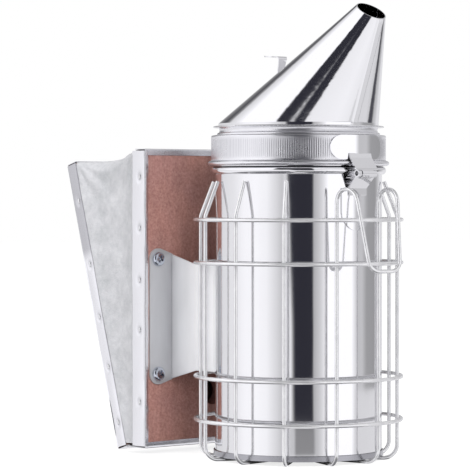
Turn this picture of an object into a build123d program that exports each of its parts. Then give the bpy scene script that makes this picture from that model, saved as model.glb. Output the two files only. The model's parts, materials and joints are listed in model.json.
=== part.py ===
from build123d import *
from math import asin, atan2, cos, degrees, radians, sin, tan
import os

# Bee smoker, in millimetres. +Z is up and the floor is z = 0. The can stands on the Z axis, the lid's
# hinge and the hanging hook are at the front (+X), and the bellows are at the back (-X).

# can
can_radius = 50.0
can_sheet = 0.5
can_top = 184.0
can_bead_drop = 9.0
can_bead_height = 4.8
can_bead_out = 2.4
bottom_depth = 3.0
bottom_seam_height = 3.4
bottom_seam_out = 0.9
seam_gap = 0.1

# air inlet and the hole it faces
inlet_height = 36.0
inlet_radius = 6.5
inlet_wall = 0.6
inlet_reach = 10.0
inlet_inside = 3.0
inlet_lip = 2.2
board_hole_margin = 1.5

# grate
grate_clearance = 3.5
grate_sheet = 0.8
grate_edge_gap = 1.2
grate_leg_width = 12.0
grate_legs = 3
grate_hole_radius = 2.4
grate_hole_rings = 3
grate_ring_pitch = 11.0
grate_holes_per_ring = 6

# lid
lid_gap = 0.4
lid_wall_gap = 1.8
lid_sheet = 0.5
lid_roll_height = 3.0
lid_roll_out = 2.0
collar_above_can = 9.5
neck_step = 2.4
neck_height = 4.7
flange_out = 1.1
flange_sheet = 0.8
flange_lap = 2.4
flare_height = 1.6
flare_wall = 1.2

# spout cone
cone_step = 2.0
cone_sheet = 0.5
mouth_forward = 12.0
mouth_rise = 66.8
mouth_radius = 9.2
mouth_tilt = 33.0
cone_seam_width = 3.8
cone_seam_raise = 0.6

# lifting tab on the back of the cone
tab_leg_place = 30.0
tab_drop = 24.0
tab_lean = 4.5
tab_tongue = 13.5
tab_tongue_rise = 0.8
tab_width = 13.0
tab_sheet = 0.8
tab_foot = 11.0
tab_foot_gap = 0.05
tab_rivet_radius = 1.1
tab_rivet_spacing = 6.5
tab_rivet_head = 0.8

# lid hinge
hinge_out = 7.5
hinge_above_bead = 0.3
barrel_radius = 2.7
barrel_bore = 1.45
barrel_length = 14.6
knuckle_gap = 0.2
middle_knuckle = 9.4
end_knuckle_radius = 2.3
pin_clearance = 0.06
pin_recess = 0.9
leaf_sheet = 0.8
leaf_gap = 0.05
leaf_margin = 0.4
upper_leaf_width = 40.8
strap_width = 17.5
lower_leaf_width = 23.0
lower_leaf_length = 25.0
lower_leaf_drop = 8.5

# wire guard
wire_diameter = 2.3
weld_gap = 0.05
foot_gap = 0.2
guard_standoff = 9.4
guard_turn = -6.0
guard_wire_count = 12
low_hoop_heights = (24.2, 49.7)
high_hoop_drops = (66.3, 40.7)
foot_bend_radius = 8.0
foot_inner_radius = 24.0
tip_drop = 18.0
tip_gap = 0.35
lean_drop = 38.5
lean_bend = 6.0

# hanging hook
hook_drop = 22.8
hook_over = 15.2
hook_reach = 23.6
hook_length = 47.2
hook_width = 22.0
hook_leg_bend = 8.2
hook_over_bend = 9.0
hook_corner_bend = 7.0

# bellows boards
board_width = 108.0
board_height = 180.0
board_low = 5.0
board_standoff = 28.0
fixed_board_thickness = 9.5
moving_board_thickness = 8.0
board_hinge_gap = 8.5
open_angle = 16.0

# edge strips and their nails
strip_sheet = 0.5
strip_lip = 2.8
strip_leather_gap = 0.8
fixed_strip_lap = 2.0
nail_radius = 0.8
nail_head_radius = 1.9
nail_head_height = 0.7
nail_depth = 7.0
fixed_nail_shares = (0.149, 0.393, 0.562, 0.738, 0.911)
moving_nail_shares = (0.083, 0.277, 0.454, 0.641, 0.868)
nails_per_end = 4
nail_end_inset = 24.0

# leather gusset, its hinge strip and the spring inside
leather_sheet = 1.2
leather_gap = 0.35
leather_end_inset = 1.0
leather_top_dip = 1.5
spring_place = 105.0
spring_radius = 11.0
spring_wire = 1.6
spring_turns = 5
spring_gap = 0.9

# brackets between the can and the fixed board
bracket_sheet = 1.0
bracket_web_place = 34.0
bracket_hoop_gap = 0.75
bracket_shoulder_low = 2.8
bracket_shoulder_top = 3.4
bracket_ear_run = 2.0
bracket_tab_angle = 16.0
bracket_tab_margin = 3.0
bracket_can_gap = 0.05
rivet_radius = 1.6
rivet_head_radius = 3.0
rivet_head_height = 1.1
rivet_tail_height = 0.8
rivet_inset = 9.0

# screws that hold the brackets to the board
screw_edge_inset = 8.8
screw_heights = (49.0, 119.0)
screw_shank_radius = 1.75
screw_head_radius = 4.35
screw_head_height = 2.6
screw_depth = 7.5
screw_slot_width = 1.2
screw_slot_length = 4.8
screw_slot_depth = 1.3
screw_slot_turn = 25.0
screw_lobe_radius = 6.4

# derived sizes
wire_radius = wire_diameter / 2
can_inner = can_radius - can_sheet
can_low = wire_diameter + foot_gap
plate_z = can_low + bottom_depth
can_bead_low = can_top - can_bead_drop - can_bead_height
grate_height = inlet_height + inlet_radius + grate_clearance
board_hole_radius = inlet_radius + board_hole_margin
guard_radius = can_radius + guard_standoff
hoop_radius = guard_radius + wire_diameter + weld_gap
hoop_heights = low_hoop_heights + tuple(can_top - drop for drop in high_hoop_drops)
hook_top = can_top - hook_drop
collar_inner = can_radius + lid_wall_gap
collar_radius = collar_inner + lid_sheet
collar_low = can_bead_low + can_bead_height + lid_gap
collar_top = can_top + collar_above_can
neck_radius = can_radius - neck_step
neck_top = collar_top + neck_height
cone_low = neck_top + flange_sheet + flare_height
cone_base_radius = can_radius - cone_step
mouth_x = can_radius + mouth_forward
mouth_z = neck_top + mouth_rise
hinge_x = can_radius + hinge_out
hinge_z = can_bead_low + hinge_above_bead
lower_leaf_top = hinge_z - lower_leaf_drop
lower_leaf_low = lower_leaf_top - lower_leaf_length
fixed_board_face = -(can_radius + board_standoff)
fixed_board_back = fixed_board_face - fixed_board_thickness
moving_board_foot = fixed_board_back - board_hinge_gap
half_board = board_width / 2
half_strip = half_board + strip_leather_gap + strip_sheet
screw_place_y = half_board - screw_edge_inset
bracket_flange = (screw_heights[0] - screw_lobe_radius, screw_heights[-1] + screw_lobe_radius)
bracket_web = (
    hoop_heights[1] + wire_radius + bracket_hoop_gap,
    hoop_heights[2] - wire_radius - bracket_hoop_gap,
)


def ring(outer, inner, low, top):
    """An upright ring or tube on the Z axis."""
    middle = Pos(0, 0, (low + top) / 2)
    return middle * (Cylinder(outer, top - low) - Cylinder(inner, (top - low) * 2))


def around_z(angle, shape):
    return Rot(0, 0, angle) * shape


def sector(low_angle, high_angle, reach, low, top):
    """A wedge of pie on the Z axis, for cutting a ring down to an arc."""
    outline = [(0, 0)]
    steps = 6
    for step in range(steps + 1):
        angle = radians(low_angle + (high_angle - low_angle) * step / steps)
        outline.append((reach * cos(angle), reach * sin(angle)))
    return Pos(0, 0, low) * extrude(make_face(Polyline(*outline, close=True)), top - low)


def half_round_bead(radius, low, height, out):
    """A rolled bead whose rounded side stands out from a wall of the given radius."""
    middle = low + height / 2
    chord = Line((radius, low), (radius, low + height))
    bulge = ThreePointArc((radius, low + height), (radius + out, middle), (radius, low))
    return revolve(Plane.XZ * make_face(chord + bulge), Axis.Z)


def wire_along(path):
    """A round wire swept along a path of straight runs and tangent arcs."""
    profile = Plane(origin=path @ 0, z_dir=path % 0) * Circle(wire_radius)
    return sweep(profile, path=path)


def upright_plate(points, middle_y, thickness):
    """A flat plate outlined in X and Z, centred on a plane of constant Y."""
    face = Plane(origin=(0, middle_y, 0), x_dir=(1, 0, 0), z_dir=(0, -1, 0)) * make_face(
        Polyline(*points, close=True)
    )
    return extrude(face, thickness / 2, both=True)


# ---- can ----


def can_shell():
    wall = ring(can_radius, can_inner, can_low + 2 * can_sheet, can_top)
    bead = half_round_bead(can_radius, can_bead_low, can_bead_height, can_bead_out)
    inlet_hole = Pos(-can_radius, 0, inlet_height) * Rot(0, 90, 0) * Cylinder(inlet_radius, can_radius)
    holes = [bracket_rivet(side, z, hole=True) for side in (-1, 1) for z in rivet_heights()]
    return wall + bead - inlet_hole - holes


def can_bottom():
    """The bottom plate, set up inside the seam ring that hooks round the shell's lower end."""
    seam_inner = can_inner - seam_gap - can_sheet
    plate = Pos(0, 0, plate_z - can_sheet / 2) * Cylinder(seam_inner + can_sheet, can_sheet)
    inner_wall = ring(can_inner - seam_gap, seam_inner, can_low, plate_z)
    floor = ring(can_radius + bottom_seam_out, seam_inner, can_low, can_low + can_sheet)
    outer_wall = ring(
        can_radius + bottom_seam_out,
        can_radius + bottom_seam_out - can_sheet,
        can_low,
        can_low + bottom_seam_height,
    )
    body = plate + inner_wall + floor + outer_wall
    rim = body.edges().filter_by(GeomType.CIRCLE).group_by(SortBy.RADIUS)[-1]
    return fillet(rim, can_sheet * 0.4)


def air_inlet_tube():
    """The tube that carries the bellows' blast through the can wall, with a flared outer lip."""
    inside = can_radius - inlet_inside
    outside = can_radius + inlet_reach
    length = outside - inside
    place = Pos(-(inside + outside) / 2, 0, inlet_height) * Rot(0, 90, 0)
    tube = place * (Cylinder(inlet_radius, length) - Cylinder(inlet_radius - inlet_wall, length * 2))
    collar = ring(can_radius + inlet_wall + leaf_gap, can_radius + leaf_gap, 0, can_top)
    seat = Pos(-can_radius, 0, inlet_height) * Rot(0, 90, 0)
    seat_disc = seat * Cylinder(inlet_radius + inlet_lip, can_radius)
    flange = (collar & seat_disc) - seat * Cylinder(inlet_radius - inlet_wall, 2 * can_radius)
    return tube + flange


def fire_grate():
    """A pierced disc on three legs bent down from its edge, loose on the can's bottom plate."""
    radius = can_inner - grate_edge_gap
    disc = Pos(0, 0, grate_height - grate_sheet / 2) * Cylinder(radius, grate_sheet)
    holes = [Pos(0, 0, grate_height) * Cylinder(grate_hole_radius, 4 * grate_sheet)]
    for ring_index in range(1, grate_hole_rings + 1):
        count = grate_holes_per_ring * ring_index
        for hole in range(count):
            place = around_z(360 * hole / count, Pos(ring_index * grate_ring_pitch, 0, grate_height))
            holes.append(place * Cylinder(grate_hole_radius, 4 * grate_sheet))
    legs = []
    leg_height = grate_height - plate_z
    leg_x = (radius**2 - (grate_leg_width / 2) ** 2) ** 0.5 - grate_sheet / 2
    for leg in range(grate_legs):
        bar = Pos(leg_x, 0, plate_z + leg_height / 2) * Box(grate_sheet, grate_leg_width, leg_height)
        legs.append(around_z(360 * leg / grate_legs, bar))
    return disc - holes + legs


# ---- lid ----


def lid_collar():
    """The deep band that slips over the can's mouth, rolled at its lower edge and turned in on top."""
    band = ring(collar_radius, collar_inner, collar_low, collar_top)
    shoulder = ring(collar_radius, neck_radius - lid_sheet, collar_top - lid_sheet, collar_top)
    roll = half_round_bead(collar_radius, collar_low, lid_roll_height, lid_roll_out)
    return band + shoulder + roll


def lid_neck():
    return ring(neck_radius, neck_radius - lid_sheet, collar_top, neck_top)


def cone_flange():
    """The pressed ring that carries the cone: a flat rim with a short flared upstand."""
    flat = neck_top + flange_sheet
    rim = ring(can_radius + flange_out, cone_base_radius - flange_lap, neck_top, flat)
    upstand = ring(cone_base_radius, cone_base_radius - flare_wall, flat, cone_low)
    body = rim + upstand
    round_edges = body.edges().filter_by(GeomType.CIRCLE).group_by(SortBy.RADIUS)[-1]
    return fillet(round_edges, flange_sheet * 0.45)


def cone_plane():
    """The tilted plane of the spout's mouth."""
    tilt = radians(mouth_tilt)
    return Plane(
        origin=(mouth_x, 0, mouth_z), x_dir=(cos(tilt), 0, -sin(tilt)), z_dir=(sin(tilt), 0, cos(tilt))
    )


def cone_solid(inset):
    base = Plane(origin=(0, 0, cone_low)) * Circle(cone_base_radius - inset)
    mouth = cone_plane() * Circle(mouth_radius - inset)
    return loft([base, mouth], ruled=True)


def cone_line(side):
    """The cone's outline at the front (+1) or back (-1): its foot and its top, in X and Z."""
    tilt = radians(mouth_tilt)
    foot = (side * cone_base_radius, cone_low)
    top = (mouth_x + side * mouth_radius * cos(tilt), mouth_z - side * mouth_radius * sin(tilt))
    return foot, top


def spout_cone():
    """The slanting cone of thin sheet, closed by a raised lock seam down its front."""
    (foot_x, foot_z), (top_x, top_z) = cone_line(1)
    seam = upright_plate(
        [
            (foot_x - 1.5 * cone_sheet, foot_z),
            (foot_x + cone_seam_raise, foot_z),
            (top_x + cone_seam_raise, top_z),
            (top_x - 1.5 * cone_sheet, top_z),
        ],
        0,
        cone_seam_width,
    )
    holes = [frame * Cylinder(tab_rivet_radius, 8) for frame in tab_rivet_frames()]
    return cone_solid(0) + seam - cone_solid(cone_sheet) - holes


def tab_foot_frame():
    """Axes on the cone's back line where the tab's leg meets it: -x runs down the slope, +z stands off."""
    (foot_x, foot_z), (top_x, top_z) = cone_line(-1)
    steepness = (top_z - foot_z) / (top_x - foot_x)
    slope = degrees(atan2(top_z - foot_z, top_x - foot_x))
    return Pos(foot_x + tab_leg_place, 0, foot_z + steepness * tab_leg_place) * Rot(0, -slope, 0)


def tab_rivet_frames():
    middle = tab_foot_frame() * Pos(-tab_foot * 0.6, 0, 0)
    return [middle * Pos(0, side * tab_rivet_spacing / 2, 0) for side in (-1, 1)]


def lifting_tab():
    """A thumb tab: a foot riveted to the cone's back slope, a leg and a tongue bent out level."""
    lift = tab_foot_gap + tab_sheet / 2
    heel = (tab_foot_frame() * Pos(0, 0, lift)).position
    toe = (tab_foot_frame() * Pos(-tab_foot, 0, lift)).position
    tongue_x = heel.X + tab_lean
    tongue_z = mouth_z - tab_drop
    round_x = tongue_x - tab_tongue + tab_width / 2
    strip = sheet_along(
        [
            (toe.X, toe.Z),
            (heel.X, heel.Z),
            (tongue_x, tongue_z),
            (round_x, tongue_z + tab_tongue_rise),
        ],
        tab_sheet,
        tab_width,
    )
    end = Pos(round_x, 0, tongue_z + tab_tongue_rise) * Cylinder(tab_width / 2, tab_sheet)
    holes = [frame * Cylinder(tab_rivet_radius, 8) for frame in tab_rivet_frames()]
    return strip + end - holes


def tab_rivets():
    """Two small rivets through the tab's foot and the cone."""
    low = -2 * cone_sheet - tab_rivet_head
    top = tab_foot_gap + tab_sheet
    shank = Pos(0, 0, (low + top) / 2) * Cylinder(tab_rivet_radius, top - low)
    head = Pos(0, 0, top + tab_rivet_head / 2) * Cylinder(1.8 * tab_rivet_radius, tab_rivet_head)
    head = fillet(head.edges().group_by(Axis.Z)[-1], tab_rivet_head * 0.45)
    return [frame * (shank + head) for frame in tab_rivet_frames()]


# ---- lid hinge ----


def at_hinge(shape):
    return Pos(hinge_x, 0, hinge_z) * Rot(90, 0, 0) * shape


def knuckle(radius, low, high):
    """A rolled knuckle on the hinge axis between two places along Y."""
    tube = Cylinder(radius, high - low) - Cylinder(barrel_bore, (high - low) * 2)
    return Pos(0, (low + high) / 2, 0) * at_hinge(tube)


def sheet_along(points, thickness, width):
    """A bent sheet: a band of the given thickness beneath a polyline in X and Z."""
    path = Polyline(*points)
    face = offset(path, thickness / 2, side=Side.BOTH, kind=Kind.INTERSECTION)
    plane = Plane(origin=(0, 0, 0), x_dir=(1, 0, 0), z_dir=(0, -1, 0))
    return extrude(plane * make_face(face), width / 2, both=True)


def hinge_upper_leaf():
    """The lid's leaf: a rounded plate on the band, a bent strap and the middle knuckle."""
    low = collar_low + lid_roll_height + leaf_margin
    top = collar_top - leaf_margin
    inner = collar_radius + leaf_gap
    outer = inner + leaf_sheet
    plate = ring(outer, inner, low, top)
    window = Pos(outer, 0, (low + top) / 2) * Rot(0, 90, 0)
    outline = window * extrude(
        SlotOverall(upper_leaf_width, top - low, rotation=90), can_radius / 2, both=True
    )
    plate = plate & outline
    strap_top = low + leaf_sheet
    barrel_top = hinge_z + barrel_radius - leaf_sheet / 2
    strap = sheet_along(
        [
            (inner + leaf_sheet / 2, strap_top + 2.4),
            (inner + leaf_sheet / 2 + 0.7, strap_top),
            (hinge_x + 0.4, barrel_top + 0.5),
            (hinge_x + 1.0, barrel_top),
        ],
        leaf_sheet,
        strap_width,
    )
    strap = strap - Cylinder(inner, 4 * can_top)
    middle = knuckle(barrel_radius, -middle_knuckle / 2, middle_knuckle / 2)
    clear_ends = []
    for side in (-1, 1):
        place = side * (middle_knuckle / 2 + barrel_length / 4)
        clear = Cylinder(end_knuckle_radius + knuckle_gap, barrel_length / 2)
        clear_ends.append(Pos(0, place, 0) * at_hinge(clear))
    bore = at_hinge(Cylinder(barrel_bore, 2 * barrel_length))
    return plate + strap + middle - clear_ends - bore


def hinge_lower_leaf():
    """The can's leaf: a plate with a round lower end, flaring out to the two end knuckles."""
    inner = can_radius + leaf_gap
    outer = inner + leaf_sheet
    half = lower_leaf_width / 2
    plate = ring(outer, inner, lower_leaf_low, lower_leaf_top)
    straight = lower_leaf_length - half
    window = Pos(outer, 0, lower_leaf_top - straight / 2) * Box(can_radius, lower_leaf_width, straight)
    round_end = Pos(outer, 0, lower_leaf_low + half) * Rot(0, 90, 0) * Cylinder(half, can_radius)
    plate = plate & (window + round_end)
    arm = sheet_along(
        [
            (inner + leaf_sheet / 2, lower_leaf_top - 4.0),
            (inner + leaf_sheet / 2, lower_leaf_top),
            (hinge_x - 0.5, hinge_z - end_knuckle_radius + leaf_sheet / 2),
            (hinge_x + 0.3, hinge_z - end_knuckle_radius + leaf_sheet / 2),
        ],
        leaf_sheet,
        barrel_length,
    )
    arm = arm - Cylinder(inner, 4 * can_top)
    ends = []
    for side in (-1, 1):
        near = middle_knuckle / 2 + knuckle_gap
        far = barrel_length / 2
        low, high = sorted((side * near, side * far))
        ends.append(knuckle(end_knuckle_radius, low, high))
    window = Cylinder(barrel_radius + 2 * knuckle_gap, middle_knuckle + 2 * knuckle_gap)
    bore = at_hinge(Cylinder(barrel_bore, 2 * barrel_length))
    return plate + arm - at_hinge(window) + ends - bore


def hinge_pin():
    return at_hinge(Cylinder(barrel_bore - pin_clearance, barrel_length - 2 * pin_recess))


# ---- wire guard ----


def guard_hoop(height):
    path = Plane(origin=(0, 0, height)) * Circle(hoop_radius)
    return wire_along(path.edge())


def guard_angles():
    """Angles of the plain uprights; the two at the front belong to the hanging hook."""
    step = 360 / guard_wire_count
    return [guard_turn + step * (index + 0.5) for index in range(1, guard_wire_count - 1)]


def guard_wires():
    """The plain uprights: a foot under the can, a bend, a straight side and a tip leaning on the can."""
    tip_radius = can_radius + wire_radius + tip_gap
    path = FilletPolyline(
        (foot_inner_radius, 0, wire_radius),
        (guard_radius, 0, wire_radius),
        (guard_radius, 0, can_top - lean_drop),
        (tip_radius, 0, can_top - tip_drop),
        radius=[foot_bend_radius, lean_bend],
    )
    wire = wire_along(path)
    return [around_z(angle, wire) for angle in guard_angles()]


def hanging_hook():
    """One wire: two feet, two uprights that loop over the top, and the hook's cross bar."""
    half_step = radians(180 / guard_wire_count)
    half_width = hook_width / 2
    side_points = []
    for side in (-1, 1):
        out = (cos(half_step), side * sin(half_step))
        side_points.append(
            [
                (foot_inner_radius * out[0], foot_inner_radius * out[1], wire_radius),
                (guard_radius * out[0], guard_radius * out[1], wire_radius),
                (guard_radius * out[0], guard_radius * out[1], hook_top),
                (guard_radius + hook_over, guard_radius * out[1], hook_top),
                (guard_radius + hook_reach, side * half_width, hook_top - hook_length),
            ]
        )
    points = side_points[0] + side_points[1][::-1]
    bends = [foot_bend_radius, hook_leg_bend, hook_over_bend, hook_corner_bend]
    path = FilletPolyline(*points, radius=bends + bends[::-1])
    return around_z(guard_turn, wire_along(path))


# ---- brackets ----


def rivet_heights():
    return (bracket_web[0] + rivet_inset, bracket_web[1] - rivet_inset)


def web_can_angle():
    return 180 - degrees(asin(bracket_web_place / can_radius))


def bracket_rivet(side, height, hole=False):
    """One rivet through a bracket's curved tab and the can wall, or the hole for it."""
    angle = side * (web_can_angle() + bracket_tab_angle * 0.55)
    if hole:
        shape = Pos(can_radius, 0, 0) * Rot(0, 90, 0) * Cylinder(rivet_radius, 12)
        return around_z(angle, Pos(0, 0, height) * shape)
    outside = can_radius + bracket_can_gap + bracket_sheet
    inside = can_inner - rivet_tail_height
    shank = Pos((outside + inside) / 2, 0, 0) * Rot(0, 90, 0) * Cylinder(rivet_radius, outside - inside)
    head = Pos(outside + rivet_head_height / 2, 0, 0) * Rot(0, 90, 0)
    head = head * Cylinder(rivet_head_radius, rivet_head_height)
    head = fillet(head.edges().group_by(Axis.X)[-1], rivet_head_height * 0.6)
    tail = Pos(inside, 0, 0) * Rot(0, 90, 0) * Cylinder(rivet_radius * 1.4, rivet_tail_height)
    return around_z(angle, Pos(0, 0, height) * (shank + head + tail))


def bracket(side):
    """A side bracket: flange on the board, tapering web and a curved tab on the can."""
    half = bracket_sheet / 2
    face = fixed_board_face
    hoop_reach = hoop_radius + wire_diameter
    neck_x = -((hoop_reach**2 - bracket_web_place**2) ** 0.5)
    inside_x = -((can_inner**2 - bracket_web_place**2) ** 0.5) + wire_diameter
    middle = bracket_web_place * side
    web = upright_plate(
        [
            (face, bracket_flange[0] + bracket_shoulder_low),
            (neck_x, bracket_web[0]),
            (inside_x, bracket_web[0]),
            (inside_x, bracket_web[1]),
            (neck_x, bracket_web[1]),
            (face, bracket_flange[1] - bracket_shoulder_top),
        ],
        middle,
        bracket_sheet,
    )
    keep_out = can_radius + bracket_can_gap
    web = web - Cylinder(keep_out, 4 * can_top)
    near = side * (bracket_web_place - half)
    ear = side * (screw_place_y - bracket_ear_run)
    far = side * (screw_place_y + screw_lobe_radius)
    outline = Polyline(
        (near, bracket_flange[0] + bracket_shoulder_low),
        (ear, bracket_flange[0]),
        (far, bracket_flange[0]),
        (far, bracket_flange[1]),
        (ear, bracket_flange[1]),
        (near, bracket_flange[1] - bracket_shoulder_top),
        close=True,
    )
    board_plane = Plane(origin=(face, 0, 0), x_dir=(0, 1, 0), z_dir=(1, 0, 0))
    flange = extrude(board_plane * make_face(outline), bracket_sheet)
    corners = flange.edges().filter_by(Axis.X).group_by(Axis.Y)[-1 if side > 0 else 0]
    flange = fillet(corners, screw_lobe_radius)
    low = bracket_web[0] + bracket_tab_margin
    top = bracket_web[1] - bracket_tab_margin
    first = side * web_can_angle()
    last = side * (web_can_angle() + bracket_tab_angle)
    tab = ring(keep_out + bracket_sheet, keep_out, low, top)
    tab = tab & sector(min(first, last), max(first, last), 2 * can_radius, low, top)
    holes = [bracket_rivet(side, z, hole=True) for z in rivet_heights()]
    holes += [screw_hole(side, z) for z in screw_heights]
    return web + flange + tab - holes


def bracket_rivets():
    return [bracket_rivet(side, z) for side in (-1, 1) for z in rivet_heights()]


def screw_hole(side, height):
    place = Pos(fixed_board_face, side * screw_place_y, height) * Rot(0, 90, 0)
    return place * Cylinder(screw_shank_radius, 2 * screw_depth)


def bracket_screws():
    """Pan-head cross-recessed wood screws."""
    seat = fixed_board_face + bracket_sheet
    screws = []
    for side in (-1, 1):
        for height in screw_heights:
            length = screw_depth + bracket_sheet
            shank = Pos(seat - length / 2, 0, 0) * Rot(0, 90, 0) * Cylinder(screw_shank_radius, length)
            head = Pos(seat + screw_head_height / 2, 0, 0) * Rot(0, 90, 0)
            head = head * Cylinder(screw_head_radius, screw_head_height)
            head = fillet(head.edges().group_by(Axis.X)[-1], screw_head_height * 0.7)
            face = seat + screw_head_height
            bar = Pos(face, 0, 0) * Box(2 * screw_slot_depth, screw_slot_width, screw_slot_length)
            cross = bar + Pos(face, 0, 0) * Box(2 * screw_slot_depth, screw_slot_length, screw_slot_width)
            cross = Rot(screw_slot_turn * side, 0, 0) * cross
            screws.append(Pos(0, side * screw_place_y, height) * (shank + head - cross))
    return screws


# ---- bellows ----


def nail_places(thickness, shares):
    """Where the nails go through the edge strips, in board axes, at shares of the board's height."""
    places = []
    for share in shares:
        z = share * board_height
        for side in (-1, 1):
            places.append(Pos(-thickness / 2, side * half_strip, z) * Rot(-90 * side, 0, 0))
    for index in range(nails_per_end):
        share = index / (nails_per_end - 1)
        y = (share - 0.5) * (board_width - 2 * nail_end_inset)
        top = board_height + strip_leather_gap + strip_sheet
        places.append(Pos(-thickness / 2, y, top))
    return places


def nails(thickness, shares):
    """Short nails whose low domed heads sit on the strips."""
    shapes = []
    for place in nail_places(thickness, shares):
        head = Cylinder(nail_head_radius, nail_head_height)
        head = fillet(head.edges().group_by(Axis.Z)[-1], nail_head_height * 0.8)
        shank = Pos(0, 0, -nail_depth / 2) * Cylinder(nail_radius, nail_depth)
        shapes.append(place * (Pos(0, 0, nail_head_height / 2) * head + shank))
    return shapes


def nail_holes(thickness, shares):
    holes = []
    for place in nail_places(thickness, shares):
        holes.append(place * Pos(0, 0, -nail_depth / 2) * Cylinder(nail_radius, nail_depth))
        holes.append(place * Cylinder(nail_radius, 2 * strip_sheet))
    return holes


def plain_board(thickness, shares):
    """A board in its own axes: x from -thickness to 0, foot at z = 0, before its screws and air hole."""
    board = Pos(-thickness / 2, 0, board_height / 2) * Box(thickness, board_width, board_height)
    return board - nail_holes(thickness, shares)


def side_strip(thickness, side, shares, lap=0):
    """An angle of thin bright sheet along one upright edge, with its lip on the board's outer face
    and its leg lapping over the leather."""
    leg_y = side * (half_strip - strip_sheet / 2)
    leg_x = -(thickness + lap - strip_sheet) / 2
    leg = Box(thickness + lap + strip_sheet, strip_sheet, board_height)
    leg = Pos(leg_x, leg_y, board_height / 2) * leg
    lip_y = side * (half_strip - strip_lip / 2)
    lip = Pos(strip_sheet / 2, lip_y, board_height / 2) * Box(strip_sheet, strip_lip, board_height)
    return leg + lip - nail_holes(thickness, shares)


def end_strip(thickness, top, shares):
    """The same angle along the board's top or bottom edge, between the side strips."""
    out = strip_leather_gap + strip_sheet / 2
    leg_z = board_height + out if top else -out
    half_leg = half_strip - strip_sheet - seam_gap
    leg_x = -(thickness - strip_sheet) / 2
    leg = Pos(leg_x, 0, leg_z) * Box(thickness + strip_sheet, 2 * half_leg, strip_sheet)
    inner_z = board_height - strip_lip if top else strip_lip
    lip_z = (inner_z + leg_z) / 2
    half_lip = half_strip - strip_lip - seam_gap
    lip = Pos(strip_sheet / 2, 0, lip_z) * Box(strip_sheet, 2 * half_lip, abs(leg_z - inner_z))
    return leg + lip - nail_holes(thickness, shares)


def place_fixed(shape):
    """Stand a board-axes shape at the fixed board's place, outer face towards the can."""
    return Pos(fixed_board_face, 0, board_low) * shape


def place_moving(shape):
    """Stand a board-axes shape at the moving board's place, outer face away from the can."""
    turned = Rot(0, 0, 180) * shape
    foot = Pos(moving_board_foot, 0, board_low) * Rot(0, -open_angle, 0)
    return foot * Pos(-moving_board_thickness, 0, 0) * turned


def fixed_board():
    """Hardboard panel with the blast hole that faces the can's air inlet."""
    board = place_fixed(plain_board(fixed_board_thickness, fixed_nail_shares))
    hole = Pos(fixed_board_face, 0, inlet_height) * Rot(0, 90, 0)
    holes = [hole * Cylinder(board_hole_radius, 4 * fixed_board_thickness)]
    holes += [screw_hole(side, z) for side in (-1, 1) for z in screw_heights]
    return board - holes


def moving_face_x(height):
    """X of the moving board's inner face at a height."""
    return moving_board_foot - tan(radians(open_angle)) * (height - board_low)


def leather_wedge(inset, rise):
    """The wedge between the boards, drawn in by an inset on its slanting sides and moved up by a rise."""
    low = board_low + leather_end_inset
    fixed_x = fixed_board_back - leather_gap
    top_fixed = board_low + board_height - leather_end_inset
    top_moving = board_low + board_height * cos(radians(open_angle)) - leather_end_inset
    gap_x = leather_gap / cos(radians(open_angle))
    top_x = moving_face_x(top_moving) + gap_x
    outline = [
        (fixed_x, low + rise),
        (fixed_x, top_fixed + rise),
        ((fixed_x + top_x) / 2, (top_fixed + top_moving) / 2 - leather_top_dip + rise),
        (top_x, top_moving + rise),
        (moving_face_x(low) + gap_x, low + rise),
    ]
    return upright_plate(outline, 0, 2 * (half_board - inset))


def bellows_leather():
    """The gusset: two sides and a top of thin leather between the boards, open inside."""
    return leather_wedge(0, 0) - leather_wedge(leather_sheet, -leather_sheet)


def bellows_hinge_strip():
    """The leather strip between the boards' lower ends that they hinge on."""
    front = fixed_board_back - leather_gap
    back = moving_board_foot + leather_gap
    low = board_low - strip_leather_gap
    return Pos((front + back) / 2, 0, low + leather_sheet / 2) * Box(
        front - back, board_width, leather_sheet
    )


def bellows_spring():
    """A coil that pushes the boards apart, its axis halfway between square to each board."""
    tilt = open_angle / 2
    spring_height = board_low + spring_place
    face_distance = (fixed_board_back - moving_face_x(spring_height)) / 2
    middle_x = fixed_board_back - face_distance
    half = face_distance / cos(radians(tilt))
    lost = (spring_radius + spring_wire / 2) * tan(radians(tilt)) + spring_wire / 2 + spring_gap
    height = 2 * (half - lost)
    coil = Helix(pitch=height / spring_turns, height=height, radius=spring_radius)
    profile = Plane(origin=coil @ 0, z_dir=coil % 0) * Circle(spring_wire / 2)
    spring = sweep(profile, path=coil, is_frenet=True)
    place = Pos(middle_x, 0, spring_height) * Rot(0, 90 - tilt, 0)
    return place * Pos(0, 0, -height / 2) * spring


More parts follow.
